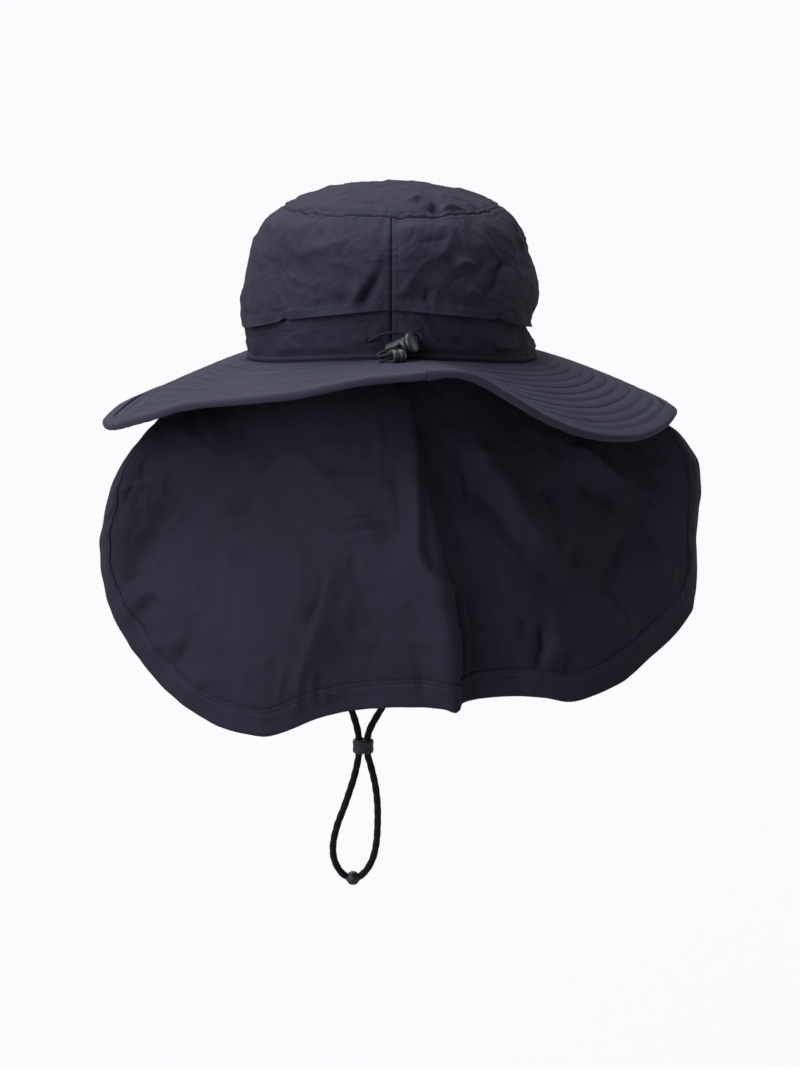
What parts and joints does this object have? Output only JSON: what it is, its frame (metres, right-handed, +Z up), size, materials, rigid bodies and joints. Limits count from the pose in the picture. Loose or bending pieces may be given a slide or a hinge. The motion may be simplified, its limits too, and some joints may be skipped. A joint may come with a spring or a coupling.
{
  "type": "legionnaire cap",
  "caption": "Sun hat with a soft round crown, a wide stitched brim, a long neck flap, a drawcord with a spring lock and a chin cord with a slider and a bead.",
  "frame": {"origin": "centre of the head opening, at the height of the seam between crown and brim; a head holds the hat there", "axes": "+Z up, +Y towards the front of the hat, +X towards the wearer's right"},
  "size_m": [0.3574, 0.368, 0.4304],
  "materials": {
    "crown_cloth": "dull plain-woven nylon with rows of stitching, near-black blue",
    "brim_cloth": "plain-woven nylon quilted to a stiff core by rings of stitching, with a binding of the same cloth",
    "flap_cloth": "one layer of plain-woven nylon with a wide turned hem, near-black blue",
    "thread": "close satin stitch round the eyelet",
    "cord": "round braided cord, black",
    "lock_plastic": "moulded plastic, dark grey, half gloss",
    "cord_end_rubber": "soft moulded plastic, dark grey, half gloss",
    "slider_rubber": "soft moulded plastic, near black, dull"
  },
  "bodies": {
    "cap": {"crown_top": "crown_cloth", "crown_side_left": "crown_cloth", "crown_side_right": "crown_cloth", "crown_band_left": "crown_cloth", "crown_band_right": "crown_cloth", "brim": "brim_cloth", "brim_binding": "brim_cloth", "neck_flap": "flap_cloth", "eyelet_left": "thread", "eyelet_right": "thread", "drawcord_left": "cord", "drawcord_right": "cord", "cord_lock_body": "lock_plastic", "cord_end": "cord_end_rubber", "chin_cord": "cord", "chin_slider": "slider_rubber", "chin_bead": "slider_rubber"},
    "lock_button": {"cord_lock_button": "lock_plastic"}
  },
  "joints": [
    {"name": "lock_press", "type": "slide", "parent": "cap", "child": "lock_button", "axis": [-0.828, 0.3861, -0.4067], "range_m": [0, 0.0011], "stiffness_N_per_m": 600, "springref_m": -0.002}
  ]
}
